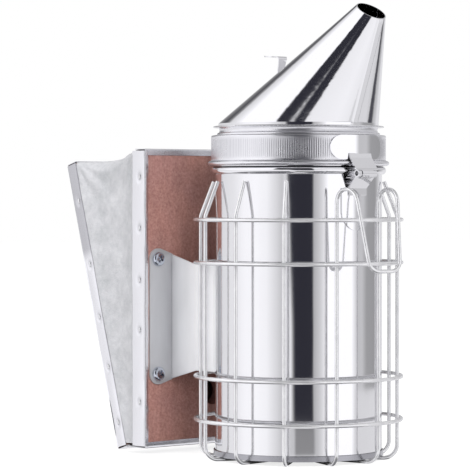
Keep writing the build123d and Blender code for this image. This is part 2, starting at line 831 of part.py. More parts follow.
def parts():
    """Every node's name and its shape or list of shapes."""
    fixed, fixed_shares = fixed_board_thickness, fixed_nail_shares
    moving, moving_shares = moving_board_thickness, moving_nail_shares
    made = {
        "can_shell": can_shell(),
        "can_bottom": can_bottom(),
        "air_inlet_tube": air_inlet_tube(),
        "fire_grate": fire_grate(),
        "lid_collar": lid_collar(),
        "lid_neck": lid_neck(),
        "cone_flange": cone_flange(),
        "spout_cone": spout_cone(),
        "lifting_tab": lifting_tab(),
        "tab_rivets": tab_rivets(),
        "hinge_upper_leaf": hinge_upper_leaf(),
        "hinge_lower_leaf": hinge_lower_leaf(),
        "hinge_pin": hinge_pin(),
        "guard_wires": guard_wires(),
        "hanging_hook": hanging_hook(),
        "bracket_left": bracket(1),
        "bracket_right": bracket(-1),
        "bracket_rivets": bracket_rivets(),
        "bracket_screws": bracket_screws(),
        "fixed_board": fixed_board(),
        "moving_board": place_moving(plain_board(moving, moving_shares)),
        "bellows_leather": bellows_leather(),
        "bellows_hinge_strip": bellows_hinge_strip(),
        "bellows_spring": bellows_spring(),
        "fixed_strip_nails": [place_fixed(nail) for nail in nails(fixed, fixed_shares)],
        "moving_strip_nails": [place_moving(nail) for nail in nails(moving, moving_shares)],
    }
    for index, height in enumerate(hoop_heights, start=1):
        made[f"guard_hoop_{index}"] = guard_hoop(height)
    for name, side in (("left", 1), ("right", -1)):
        fixed_strip = side_strip(fixed, side, fixed_shares, fixed_strip_lap)
        made[f"fixed_strip_{name}"] = place_fixed(fixed_strip)
        made[f"moving_strip_{name}"] = place_moving(side_strip(moving, -side, moving_shares))
    for name, top in (("top", True), ("bottom", False)):
        made[f"fixed_strip_{name}"] = place_fixed(end_strip(fixed, top, fixed_shares))
        made[f"moving_strip_{name}"] = place_moving(end_strip(moving, top, moving_shares))
    return made


os.makedirs("parts", exist_ok=True)
for node, shape in parts().items():
    solids = shape if isinstance(shape, list) else [shape]
    export_step(Compound(children=[Part() + piece for piece in solids]), f"parts/{node}.step")
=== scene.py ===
import json
from collections import namedtuple
from math import atan2, cos, exp, pi, radians, sin

import bmesh
import bpy
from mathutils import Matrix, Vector, noise


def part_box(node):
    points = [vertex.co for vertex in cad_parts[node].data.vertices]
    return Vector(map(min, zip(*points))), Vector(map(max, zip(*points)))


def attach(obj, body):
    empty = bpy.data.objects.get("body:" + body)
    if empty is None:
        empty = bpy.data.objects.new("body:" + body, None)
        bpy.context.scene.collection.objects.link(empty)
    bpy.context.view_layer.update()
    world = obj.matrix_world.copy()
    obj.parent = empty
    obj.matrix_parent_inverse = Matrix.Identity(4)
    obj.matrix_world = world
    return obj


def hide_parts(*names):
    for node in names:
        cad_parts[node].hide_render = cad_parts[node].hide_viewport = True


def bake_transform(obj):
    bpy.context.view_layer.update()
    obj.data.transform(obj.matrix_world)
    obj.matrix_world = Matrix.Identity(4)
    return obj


MM = 0.001

# Where the camera stands and what it looks at, in metres and degrees. The fire can's axis is x = 0, y = 0,
# and azimuth 0 looks along +Y.
CAMERA_AZIMUTH = 47.0
CAMERA_DISTANCE = 1.62
CAMERA_HEIGHT = 0.157
AIM_LEFT = 0.038
AIM_HEIGHT = 0.134
LENS = 207.0
SENSOR = 36.0
TOWARD_CAMERA = radians(CAMERA_AZIMUTH - 90)

# How bright the studio looks all round, by azimuth in degrees from the camera's side, as displayed
# brightness from 0 to 1: at eye level, above it, and towards the floor.
WALL = [
    (-180, 0.86), (-150, 0.84), (-125, 0.87), (-100, 0.91), (-80, 0.98), (-60, 0.99), (-44, 0.965),
    (-30, 0.86), (-22, 0.78), (-15, 0.93), (-5, 0.93), (22, 0.71), (27, 0.77), (34, 0.88), (41, 1.02),
    (79, 1.02), (85, 0.76), (98, 0.77), (108, 0.62), (130, 0.60), (150, 0.88), (180, 0.86),
]
ABOVE = [
    (-180, 0.68), (-172, 0.65), (-163, 0.46), (-152, 0.34), (-145, 0.50), (-138, 0.84), (-120, 0.94),
    (-108, 1.02), (-30, 1.02), (40, 0.90), (120, 0.80), (180, 0.68),
]
BELOW = [
    (-180, 0.88), (-100, 0.94), (0, 0.93), (60, 0.965), (90, 0.92), (112, 0.84), (121, 0.80),
    (124, 0.32), (131, 0.32), (136, 0.80), (151, 0.90), (180, 0.88),
]
# Where the wall gives way to each other part of the studio: the degrees from eye level at which the change
# starts, and the degrees it takes.
ABOVE_BAND = (1.5, 7)
CEILING_BAND = (44, 12)
BELOW_BAND = (6, 7)
GROUND_BAND = (35, 12)
# The black flag beside the camera: its left edge by elevation, its right edge, its lower edge by azimuth and
# its top.
FLAG_LEFT = [(-90, -2.4), (-3, -3.0), (-1, -8.3), (0, -11.5), (3, -19), (8, -30.5), (90, -30.5)]
FLAG_RIGHT = 18.5
FLAG_LOW = [(-180, -11), (1, -11.5), (6, -14.2), (180, -14.2)]
FLAG_HIGH = 42.0
# The degrees that its edges take to fade. The left one's change over a band of elevation.
LEFT_SOFT, LEFT_BAND = (8.0, 4.0), (-3, 3)
RIGHT_SOFT, LOW_SOFT, HIGH_SOFT = 3, 2, 8
FLAG_LEVEL = 0.212
# The dim ceiling and the shade under the object, which only rolled edges and beads reflect.
CEILING_LEVEL = 0.42
GROUND_LEVEL = 0.30
# The light's colour where it is weakest and from where it is strong, by its strength.
TINTS = [(0.04, (0.735, 0.73, 1.0)), (0.16, (0.975, 0.97, 1.0))]
# The share of the light that tinned steel reflects.
TIN_REFLECTS = 0.9


# ---- small helpers ----


def new_object(name, data):
    thing = bpy.data.objects.new(name, data)
    bpy.context.scene.collection.objects.link(thing)
    return thing


def mesh_object(name, vertices, faces):
    mesh = bpy.data.meshes.new(name)
    mesh.from_pydata([tuple(v) for v in vertices], [], faces)
    mesh.validate()
    mesh.update()
    for face in mesh.polygons:
        face.use_smooth = True
    return new_object(name, mesh)


def grid_faces(rows, columns, close_rows=False, close_columns=False):
    faces = []
    for i in range(rows if close_rows else rows - 1):
        for j in range(columns if close_columns else columns - 1):
            a = i * columns + j
            b = i * columns + (j + 1) % columns
            c = ((i + 1) % rows) * columns + (j + 1) % columns
            d = ((i + 1) % rows) * columns + j
            faces.append((a, b, c, d))
    return faces


def mark(thing, name, values):
    """Stores one number per vertex, for a material to read."""
    thing.data.attributes.new(name, "FLOAT", "POINT").data.foreach_set("value", values)


def blend_number(low, high, share):
    return low + (high - low) * share


def smooth_step(share):
    share = min(max(share, 0.0), 1.0)
    return share * share * (3 - 2 * share)


def from_table(table, place):
    """A value between a table's (place, value) rows."""
    for (a0, v0), (a1, v1) in zip(table, table[1:]):
        if a0 <= place <= a1:
            return blend_number(v0, v1, (place - a0) / (a1 - a0))
    return table[-1][1]


def fade_in(place, band):
    """0 before a band, 1 past it and a smooth rise between, for the band's (start, width)."""
    start, width = band
    return smooth_step((place - start) / width)


def studio_level(angle, height):
    """The studio's light, as emission, in a direction given by azimuth from the camera and elevation."""
    eye, above, below = (from_table(table, angle) for table in (WALL, ABOVE, BELOW))
    shown = blend_number(eye, above, fade_in(height, ABOVE_BAND))
    shown = blend_number(shown, below, fade_in(-height, BELOW_BAND))
    shown = blend_number(shown, CEILING_LEVEL, fade_in(height, CEILING_BAND))
    shown = blend_number(shown, GROUND_LEVEL, fade_in(-height, GROUND_BAND))
    soft = blend_number(*LEFT_SOFT, fade_in(height, LEFT_BAND))
    flag = fade_in(angle, (from_table(FLAG_LEFT, height) - soft, soft))
    flag *= 1 - fade_in(angle, (FLAG_RIGHT, RIGHT_SOFT))
    flag *= fade_in(height, (from_table(FLAG_LOW, angle) - LOW_SOFT / 2, LOW_SOFT))
    flag *= 1 - fade_in(height, (FLAG_HIGH, HIGH_SOFT))
    return emission(blend_number(shown, FLAG_LEVEL, flag))


def emission(shown):
    """The strength a lit surface needs for tinned steel to show it at a displayed brightness."""
    return ((shown + 0.055) / 1.055) ** 2.4 / TIN_REFLECTS


# ---- sheet shapes ----


def shell(name, grid, sharp=35.0):
    """A thin closed piece from rows of point pairs, one on its outer face and one on its inner face."""
    rows, columns = len(grid), len(grid[0])
    vertices = [pair[face] for face in (0, 1) for row in grid for pair in row]
    shift = rows * columns
    faces = grid_faces(rows, columns)
    faces += [tuple(shift + i for i in reversed(face)) for face in grid_faces(rows, columns)]
    rim = list(range(columns))
    rim += [i * columns + columns - 1 for i in range(1, rows)]
    rim += [(rows - 1) * columns + j for j in range(columns - 2, -1, -1)]
    rim += [i * columns for i in range(rows - 2, 0, -1)]
    for a, b in zip(rim, rim[1:] + rim[:1]):
        faces.append((b, a, shift + a, shift + b))
    thing = mesh_object(name, vertices, faces)
    tidy_normals(thing, sharp)
    return thing


def turned(name, profile, columns, grooves=None):
    """A closed ring turned round the can's axis from (radius, height) points. Grooves are how far each of
    its vertices is sunk."""
    vertices = []
    for radius, z in profile:
        for j in range(columns):
            around = 2 * pi * j / columns
            r = radius - grooves[len(vertices)] if grooves else radius
            vertices.append((r * cos(around), r * sin(around), z))
    return mesh_object(name, vertices, grid_faces(len(profile), columns, True, True))


def tidy_normals(thing, sharp=35.0):
    """Turns the faces outwards and marks the edges sharper than an angle in degrees."""
    mesh = bmesh.new()
    mesh.from_mesh(thing.data)
    bmesh.ops.recalc_face_normals(mesh, faces=mesh.faces)
    mesh.to_mesh(thing.data)
    mesh.free()
    thing.data.set_sharp_from_angle(angle=radians(sharp))


def finish_piece(thing, materials, slot, *nodes):
    """Gives a piece its slot's material and hides the CAD nodes that it replaces."""
    thing.data.materials.append(materials[slot])
    if nodes:
        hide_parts(*nodes)
    return thing


def wobble(x, y, z, size, seed):
    """Smooth noise of about -1 to 1, with features of a given size in metres."""
    return noise.noise(Vector((x / size + seed, y / size + 3.1 * seed, z / size - 1.7 * seed)))


# ---- bellows ----

# The open bellows' lean, the gaps between the boards at the foot and top, and the moving one's thickness.
TILT = radians(16.0)
HINGE_GAP = 8.5 * MM
MOVING_THICKNESS = 8.0 * MM
# The edge strips: how far they and their faces stand off the boards, their sheet, the turned lip's width,
# the bend's radius and the points along each stretch of their section.
STRIP_OUT = 1.3 * MM
STRIP_FACE = 0.5 * MM
STRIP_SHEET = 0.45 * MM
LIP = 2.8 * MM
BEND = 0.9 * MM
LEG_STEPS, BEND_STEPS, LIP_STEPS = 12, 4, 4
# How deep nails drive them in, how much their sheet ripples and bows, and how their cut edges stray.
SIDE_DENT, END_DENT = 0.80 * MM, 0.55 * MM
RIPPLE, BOW = 0.10 * MM, 0.22 * MM
STRAY_EDGE, STRAY_LIP = 0.45 * MM, 0.35 * MM
# Where a strip turns grey with painted shade, as shares of its length, how dark the painted shadow along its
# edge and the painted shade in a dent are, and the way a section's points face where nails go in.
PAINTED_SHADE_BAND = (0.66, 0.05)
PAINTED_EDGE_SHADOW, PAINTED_DENT_SHADE = 0.9, 0.5
NAILED_FACING = -0.9
# The nails' places: up the side strips, along the end strips and as a share of the boards' thickness.
FIXED_NAILS = (0.149, 0.393, 0.562, 0.738, 0.911)
MOVING_NAILS = (0.083, 0.277, 0.454, 0.641, 0.868)
END_NAILS = (-30 * MM, -10 * MM, 10 * MM, 30 * MM)
NAIL_LINE = 0.46

Board = namedtuple("Board", "name place thickness body leg_from nails worn seed")


class Bellows:
    """The two boards' places, as maps from board measures to points: out is away from the bellows'
    inside, across is along Y and up is along the board from its foot."""

    def __init__(self):
        low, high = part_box("fixed_board")
        self.inner = low[0]
        self.foot = low[2]
        self.half = high[1]
        self.height = high[2] - low[2]
        self.fixed_thickness = high[0] - low[0]
        self.moving_foot = self.inner - HINGE_GAP

    def fixed(self, out, across, up):
        return Vector((self.inner + out, across, self.foot + up))

    def moving(self, out, across, up):
        x = self.moving_foot - out * cos(TILT) - up * sin(TILT)
        z = self.foot - out * sin(TILT) + up * cos(TILT)
        return Vector((x, across, z))


def strip_profile(first, thickness, reach, lip):
    """The angle strip's outer line as (out, reach, inward normal) from its leg's free edge to its lip's."""
    face = thickness + STRIP_FACE
    points = []
    for i in range(LEG_STEPS):
        points.append((blend_number(first, face - BEND, i / LEG_STEPS), reach, 0.0, -1.0))
    for i in range(BEND_STEPS + 1):
        a, b = sin(radians(90 * i / BEND_STEPS)), cos(radians(90 * i / BEND_STEPS))
        points.append((face - BEND + BEND * a, reach - BEND + BEND * b, -a, -b))
    for i in range(1, LIP_STEPS + 1):
        points.append((face, blend_number(reach - BEND, reach - lip, i / LIP_STEPS), -1.0, 0.0))
    return points


def dent(along, out, places, middle, depth):
    """How far a strip is driven in round its nails."""
    total = 0.0
    for place in places:
        a, b = (along - place) / (2.1 * MM), (out - middle) / (1.25 * MM)
        total += depth * exp(-(a * a + b * b) / 1.6)
    return total


def near_lip(profile, index):
    """1 at a strip's lip edge, and 0 from three points before it."""
    return max(0.0, 1 - (len(profile) - 1 - index) / 3)


def finish_strip(board, word, grid, painted_shade, materials):
    """Makes a strip from its point pairs and the painted shade on its outer face."""
    thing = shell(f"{board.name}_edge_{word}", grid)
    # The inner face takes the dents' painted shade all over.
    mark(thing, "painted_shade", painted_shade + [PAINTED_DENT_SHADE] * len(painted_shade))
    return finish_piece(thing, materials, "edge_strip", f"{board.name}_strip_{word}")


def side_strip(bellows, board, word, side, materials):
    """An angle strip along an upright edge, with its nail dents and a hand-cut edge."""
    profile = strip_profile(board.leg_from, board.thickness, bellows.half + STRIP_OUT, LIP)
    places = [share * bellows.height for share in board.nails]
    seed = board.seed + 0.37 * side
    rows = 260
    grid, painted_shade = [], []
    for i in range(rows + 1):
        up = bellows.height * i / rows
        # Painted shade: the strip turns greyer towards its top, where it would reflect darker surroundings.
        dull = board.worn * fade_in(i / rows + 0.03 * wobble(0, 0, up, 9 * MM, seed), PAINTED_SHADE_BAND)
        row = []
        for j, (out, across, n_out, n_across) in enumerate(profile):
            sink = 0.0
            if n_across < NAILED_FACING:
                sink = dent(up, out, places, board.thickness * NAIL_LINE, SIDE_DENT)
            # A painted shadow: a dark line along the leg's free edge, where the strip lies on the leather.
            line = PAINTED_EDGE_SHADOW if j == 0 and board.worn > 0 else 0.0
            # Painted shade in the nail dents, joined with the greyer top and the edge's painted shadow.
            painted_shade.append(max(dull, line, PAINTED_DENT_SHADE * min(1.0, sink / (0.6 * MM))))
            sink += RIPPLE * (1 + wobble(out, across, up, 13 * MM, seed + 9))
            if j <= LEG_STEPS:
                from_middle = 2 * j / LEG_STEPS - 1
                sink += BOW * (1 + wobble(0, 0, up, 34 * MM, seed + 11)) * from_middle**2
            out += STRAY_EDGE * wobble(0, 0, up, 22 * MM, seed) * max(0.0, 1 - j / 4)
            out -= sink * min(0.0, n_out)
            across += sink * min(0.0, n_across)
            across += STRAY_LIP * wobble(0, 0, up, 16 * MM, seed + 5) * near_lip(profile, j)
            outer = board.place(out, side * across, up)
            inner = board.place(out + n_out * STRIP_SHEET, side * (across + n_across * STRIP_SHEET), up)
            row.append((outer, inner))
        grid.append(row)
    return finish_strip(board, word, grid, painted_shade, materials)


def end_strip(bellows, board, word, materials):
    """The strip along a board's top or bottom edge."""
    top = word == "top"
    seed = board.seed + (4.1 if top else 6.3)
    profile = strip_profile(0.0, board.thickness, STRIP_OUT, LIP + STRIP_OUT)
    half = bellows.half + STRIP_OUT - 0.7 * MM
    edge, away = (bellows.height, 1) if top else (0.0, -1)
    columns = 200
    grid, painted_shade = [], []
    for i in range(columns + 1):
        y = blend_number(-half, half, i / columns)
        row = []
        for j, (out, rise, n_out, n_rise) in enumerate(profile):
            sink = 0.0
            if top and n_rise < NAILED_FACING:
                sink = dent(y, out, END_NAILS, board.thickness * NAIL_LINE, END_DENT)
            # Painted shade in the nail dents.
            painted_shade.append(PAINTED_DENT_SHADE * min(1.0, sink / (0.5 * MM)))
            sink += RIPPLE * (1 + wobble(y, out, rise, 14 * MM, seed))
            rise += sink * min(0.0, n_rise)
            rise -= STRAY_EDGE * wobble(y, 0, 0, 18 * MM, seed + 3) * near_lip(profile, j)
            rise = max(rise, -LIP)
            out += sink * min(0.0, n_out)
            outer = board.place(out, y, edge + away * rise)
            inner = board.place(out + n_out * STRIP_SHEET, y, edge + away * (rise + n_rise * STRIP_SHEET))
            row.append((outer, inner))
        grid.append(row)
    return finish_strip(board, word, grid, painted_shade, materials)


def nail_heads(bellows, board, materials):
    """Small oval tack heads, driven slightly askew into the strips' dents."""
    rings, spokes = 5, 18
    half_width, half_length, crown, sunk, lean = 1.05 * MM, 1.75 * MM, 0.62 * MM, 0.10 * MM, 0.12 * MM
    vertices, faces = [], []

    def head(centre, right, forward, lift, turn):
        first = len(vertices)
        for ring in range(rings):
            tip = radians(90 * ring / (rings - 1))
            for spoke in range(spokes):
                around = 2 * pi * spoke / spokes
                a = half_width * sin(tip) * cos(around)
                b = half_length * sin(tip) * sin(around)
                rise = crown * cos(tip) - sunk + lean * sin(around) * sin(tip)
                a, b = a * cos(turn) - b * sin(turn), a * sin(turn) + b * cos(turn)
                vertices.append(centre + right * a + forward * b + lift * rise)
        for face in grid_faces(rings, spokes, close_columns=True):
            faces.append(tuple(first + k for k in face))
        faces.append(tuple(first + (rings - 1) * spokes + j for j in reversed(range(spokes))))

    origin = board.place(0, 0, 0)
    out, up = board.place(1, 0, 0) - origin, board.place(0, 0, 1) - origin
    line, seed = board.thickness * NAIL_LINE, board.seed
    for index, share in enumerate(board.nails):
        for side in (-1, 1):
            centre = board.place(line, side * (bellows.half + STRIP_OUT - 0.62 * MM), share * bellows.height)
            head(centre, out, up, Vector((0, side, 0)), 0.35 * wobble(index, side, seed, 0.7, seed))
    for index, y in enumerate(END_NAILS):
        centre = board.place(line, y, bellows.height + STRIP_OUT - 0.58 * MM)
        head(centre, out, Vector((0, 1, 0)), up, 0.4 * wobble(index, 2, seed, 0.7, seed))
    thing = mesh_object(f"{board.name}_nail_heads", vertices, faces)
    bmesh_merge(thing, 0.02 * MM)
    tidy_normals(thing, 50)
    return finish_piece(thing, materials, "rivet_steel", f"{board.name}_strip_nails")


def bmesh_merge(thing, distance):
    """Joins the vertices that are closer than a distance."""
    mesh = bmesh.new()
    mesh.from_mesh(thing.data)
    bmesh.ops.remove_doubles(mesh, verts=mesh.verts, dist=distance)
    mesh.to_mesh(thing.data)
    mesh.free()


def gusset_path(bellows, bend, share):
    """A point on the gusset's U-shaped line: (across, up, outward across, outward up)."""
    half, height = bellows.half, bellows.height
    straight = height - bend
    arc = bend * pi / 2
    total = 2 * straight + 2 * arc + 2 * (half - bend)
    place = share * total
    if place > total / 2:
        across, up, n_across, n_up = gusset_path(bellows, bend, 1 - share)
        return -across, up, -n_across, n_up
    if place < straight:
        return -half, place, -1.0, 0.0
    if place < straight + arc:
        turn = (place - straight) / bend
        return -half + bend - bend * cos(turn), straight + bend * sin(turn), -cos(turn), sin(turn)
    return -half + bend + place - straight - arc, height, 0.0, 1.0


def gusset(bellows, materials):
    """The bellows' leather: one piece round three sides, nailed at both boards, slack between them."""
    rows, columns = 300, 44
    tuck_fixed, tuck_moving = 1.8 * MM, 4.5 * MM
    outside, nailed_thick, free_thick = 0.72 * MM, 0.62 * MM, 1.1 * MM
    foot, nailed_edge = 1.2 * MM, (0, 5 * MM)
    # From the fixed board to the moving one. Past 0 and 1 the leather is tucked along the boards' edges.
    shares = [-1.0, -0.5] + [i / columns for i in range(columns + 1)] + [1.5, 2.0]
    grid = []
    for i in range(rows + 1):
        row = []
        for t in shares:
            inside = min(max(t, 0.0), 1.0)
            belly = sin(pi * inside)
            across, up, n_across, n_up = gusset_path(bellows, (1.6 + 9.0 * belly) * MM, i / rows)
            up = max(up, foot)
            near, far = bellows.fixed(0, across, up), bellows.moving(0, across, up)
            span = (far - near).length
            point = near.lerp(far, inside)
            if t < 0:
                point = bellows.fixed(-t * tuck_fixed, across, up)
            elif t > 1:
                point = bellows.moving((t - 1) * tuck_moving, across, up)
            normal = Vector((0, n_across, n_up))
            if n_up > 0.5:
                tilt = (far - near).normalized()
                normal = Vector((tilt.z, 0, -tilt.x)) * n_up + Vector((0, n_across, 0))
            normal.normalize()
            free = fade_in(inside * span, nailed_edge) * fade_in((1 - inside) * span, nailed_edge)
            side_sag = 0.052 * span * (1 - n_up)
            top_sag = (1.9 + 2.6 * (1 - (across / bellows.half) ** 2)) * MM * n_up
            x, y, z = point
            folds = gusset_folds(bellows, inside, across, up, span, n_up)
            folds += 0.55 * MM * wobble(x, y, z, 26 * MM, 2.3) + 0.28 * MM * wobble(x, y, z, 11 * MM, 6.1)
            lift = outside - belly * (side_sag + top_sag) + folds * free * smooth_step(span / (24 * MM))
            thickness = blend_number(nailed_thick, free_thick, free)
            row.append((point + normal * lift, point + normal * (lift - thickness)))
        grid.append(row)
    thing = shell("leather_gusset", grid, 60)
    finish_piece(thing, materials, "grey_leather", "bellows_leather")
    away = Vector((-cos(TILT), 0, -sin(TILT)))
    end = bellows.moving(0, 0, bellows.height / 2)
    depth = (end - bellows.fixed(0, 0, bellows.height)).dot(away)
    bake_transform(thing)


def gusset_folds(bellows, inside, across, up, span, n_up):
    """Creases that run from the boards' top corners, and puckers between the nails."""
    if n_up > 0.9:
        pull = 0.5 * MM * sin(across / (7.5 * MM) + 2 * wobble(across, inside, 0, 30 * MM, 4.4))
        return pull * (1 - inside) ** 2 * 0.8 + 0.4 * pull * inside**3
    total = 0.0
    below = bellows.height - up + 2 * MM
    for corner, length, count, size in ((0.0, 46 * MM, 8.0, 0.85 * MM), (1.0, 34 * MM, 6.0, 0.6 * MM)):
        beside = abs(inside - corner) * span
        reach = (beside * beside + below * below) ** 0.5
        turn = count * atan2(beside, below) * 2 + 0.6 + 1.2 * wobble(beside, below, corner, 20 * MM, 1.9)
        total += size * sin(turn) * exp(-reach / length) * smooth_step(reach / (9 * MM))
    for shares, edge in ((FIXED_NAILS, inside), (MOVING_NAILS, 1 - inside)):
        for share in shares:
            gap = (up - share * bellows.height) / (9 * MM)
            total -= 0.5 * MM * exp(-gap * gap) * exp(-edge * span / (8 * MM))
    return total


def hinge_leather(bellows, materials):
    """The soft strip under the boards' feet that they hinge on, drooping a little between them."""
    rows, columns = 90, 16
    tuck, below, half_thick = 4.0 * MM, -0.38 * MM, 0.3 * MM
    side = bellows.half - 0.3 * MM
    grid = []
    for i in range(rows + 1):
        y = blend_number(-side, side, i / rows)
        row = []
        for t in [-1.0] + [j / columns for j in range(columns + 1)] + [2.0]:
            inside = min(max(t, 0.0), 1.0)
            point = bellows.fixed(0, y, below).lerp(bellows.moving(0, y, below), inside)
            if t < 0:
                point = bellows.fixed(tuck, y, below)
            elif t > 1:
                point = bellows.moving(tuck, y, below)
            droop = sin(pi * inside) * (0.55 + 0.25 * wobble(y, 0, 0, 15 * MM, 3.7)) * MM
            row.append([point - Vector((0, 0, droop + half)) for half in (half_thick, -half_thick)])
        grid.append(row)
    thing = shell("hinge_leather", grid, 60)
    finish_piece(thing, materials, "grey_leather", "bellows_hinge_strip")
    start, end = bellows.fixed(0, 0, 0), bellows.moving(0, 0, 0)
    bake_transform(thing)


def coil_spring(bellows, materials):
    """The spring inside, its turns fanning from one board's face to the other's."""
    radius, wire, turns, place, off = 11 * MM, 0.8 * MM, 5.0, 105 * MM, -1.3 * MM
    steps, around, end_lie = 200, 10, 0.03
    vertices = []
    for i in range(steps + 1):
        turned_by = i / steps * (turns + 2)
        share = blend_number(end_lie, 1 - end_lie, min(max((turned_by - 1) / turns, 0.0), 1.0))
        centre = bellows.fixed(off, 0, place).lerp(bellows.moving(off, 0, place), share)
        lean = TILT * share
        angle = 2 * pi * turned_by
        spoke = Vector((-sin(lean), 0, cos(lean))) * cos(angle) + Vector((0, 1, 0)) * sin(angle)
        axis = Vector((-cos(lean), 0, -sin(lean)))
        for k in range(around):
            angle = 2 * pi * k / around
            vertices.append(centre + spoke * (radius + wire * cos(angle)) + axis * wire * sin(angle))
    faces = grid_faces(steps + 1, around, close_columns=True)
    faces.append(tuple(reversed(range(around))))
    faces.append(tuple(steps * around + k for k in range(around)))
    thing = mesh_object("coil_spring", vertices, faces)
    tidy_normals(thing, 50)
    finish_piece(thing, materials, "spring_steel", "bellows_spring")
    start, end = bellows.fixed(0, 0, place), bellows.moving(0, 0, place)
    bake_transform(thing)


def make_bellows(materials):
    bellows = Bellows()
    gusset(bellows, materials)
    hinge_leather(bellows, materials)
    coil_spring(bellows, materials)
    fixed = Board(
        name="fixed",
        place=bellows.fixed,
        thickness=bellows.fixed_thickness,
        body="can_and_guard",
        leg_from=-2.0 * MM,
        nails=FIXED_NAILS,
        worn=0.0,
        seed=1.0,
    )
    moving = Board(
        name="moving",
        place=bellows.moving,
        thickness=MOVING_THICKNESS,
        body="moving_bellows_board",
        leg_from=0.0,
        nails=MOVING_NAILS,
        # How strongly painted shade greys the top of this strip.
        worn=0.55,
        seed=2.0,
    )
    for board in (fixed, moving):
        made = [side_strip(bellows, board, "left", 1, materials)]
        made.append(side_strip(bellows, board, "right", -1, materials))
        made += [end_strip(bellows, board, word, materials) for word in ("top", "bottom")]
        made.append(nail_heads(bellows, board, materials))
        for thing in made:
            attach(thing, board.body)


# ---- lid ----


def finish_ring(thing, sharp, materials, rolled, node):
    """Finishes a ring that is in the tinned steel slot and shows the duller rolled tin."""
    tidy_normals(thing, sharp)
    finish_piece(thing, materials, "tinned_steel", node)
    thing.data.materials[0] = rolled
    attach(thing, "lid")


def ribbed_collar(materials, rolled):
    """The lid's lower ring: a rolled edge below, a finely ribbed wall and a smooth shoulder."""
    low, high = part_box("lid_collar")
    bottom, top, roll = low[2], high[2], high[0]
    wall, inside, shoulder = 52.3 * MM, 51.8 * MM, 47.1 * MM
    roll_width, roll_rise, corner = 1.9 * MM, 1.5 * MM, 0.9 * MM
    ribs, per_rib, rib_depth = 243, 8, 0.075 * MM
    profile = [(inside, bottom + 0.5 * MM), (inside + 0.15 * MM, bottom + 0.1 * MM)]
    for i in range(13):
        turn = radians(-100 + 200 * i / 12)
        profile.append((roll + roll_width * (cos(turn) - 1), bottom + roll_rise * (sin(turn) + 1)))
    profile += [(wall + 0.08 * MM, bottom + 3.15 * MM), (wall, bottom + 3.5 * MM)]
    first_ribbed, steps = len(profile) + 1, 8
    for i in range(steps + 1):
        profile.append((wall, blend_number(bottom + 4.1 * MM, top - 1.7 * MM, i / steps)))
    ribbed = range(first_ribbed, first_ribbed + steps - 1)
    for i in range(6):
        turn = radians(90 * i / 5)
        profile.append((wall - corner + corner * cos(turn), top - corner + corner * sin(turn)))
    profile += [(blend_number(wall - corner, shoulder, i / 3), top) for i in range(1, 4)]
    profile += [(shoulder, top - 0.5 * MM), (inside - 0.8 * MM, top - 0.5 * MM)]
    profile += [(inside, top - 1.3 * MM), (inside, bottom + 6 * MM)]
    columns = ribs * per_rib
    grooves = []
    for level in range(len(profile)):
        for j in range(columns):
            grooves.append(0.5 * (1 - cos(2 * pi * j / per_rib)) if level in ribbed else 0.0)
    thing = turned("ribbed_collar", profile, columns, [rib_depth * groove for groove in grooves])
    mark(thing, "groove", grooves)
    finish_ring(thing, 60, materials, rolled, "lid_collar")


def lid_neck(materials, rolled):
    """The ring between collar and cone: a rolled shoulder, a waist and a flare up to the cone's flange."""
    low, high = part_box("lid_neck")
    bottom, top = low[2], high[2]
    radius, shoulder, sheet = 47.6 * MM, 193.7 * MM, 0.5 * MM
    roll_out, roll_up, steps = 1.3 * MM, 1.5 * MM, 8
    profile = [(radius, bottom)]
    for i in range(steps + 1):
        turn = radians(90 * i / steps)
        profile.append((radius + roll_out * cos(turn) ** 0.8, shoulder + roll_up * sin(turn)))
    for i in range(1, steps + 1):
        waist, flare = 0.35 * MM * sin(pi * i / steps), 0.25 * MM * (i / steps) ** 3
        profile.append((radius - waist + flare, blend_number(shoulder + roll_up, top, i / steps)))
    profile += [(radius - sheet, top), (radius - sheet, bottom)]
    finish_ring(turned("neck_ring", profile, 240), 50, materials, rolled, "lid_neck")


# The lid's tab in millimetres, from its foot to its tip: the corners of its side view as (x, z), and half
# its width by the distance along it.
TAB_CORNERS = [(-27.35, 215.15), (-18.25, 221.33), (-13.75, 241), (-27.25, 241.85)]
TAB_WIDTHS = [(0, 5.4), (0.8, 6.3), (1.6, 6.5), (9.5, 6.5), (12, 5.6), (17, 3.0), (22, 2.6), (28, 2.8)]
TAB_WIDTHS += [(31, 3.6), (34, 6.0), (35.5, 6.5)]
# How far its bends reach, its rounded end's radius and its sheet.
TAB_BEND, TAB_ROUND, TAB_SHEET = 1.8 * MM, 6.5 * MM, 0.8 * MM
# The cone's seam: half its section in millimetres, from a foot to its middle, and the line it runs along.
SEAM_HALF = [(-2.75, -0.25), (-2.62, 0.02), (-2.45, 0.30), (-2.25, 0.55), (-1.98, 0.74), (-1.6, 0.83)]
SEAM_HALF += [(-0.9, 0.80)]
SEAM_FOOT, SEAM_TOP = Vector((48.0, 0, 200.6)) * MM, Vector((69.716, 0, 259.989)) * MM


def even_steps(path, end, count):
    """Adds evenly spaced points from a path's last point to an end."""
    for left in range(count, 0, -1):
        path.append(path[-1].lerp(end, 1 / left))


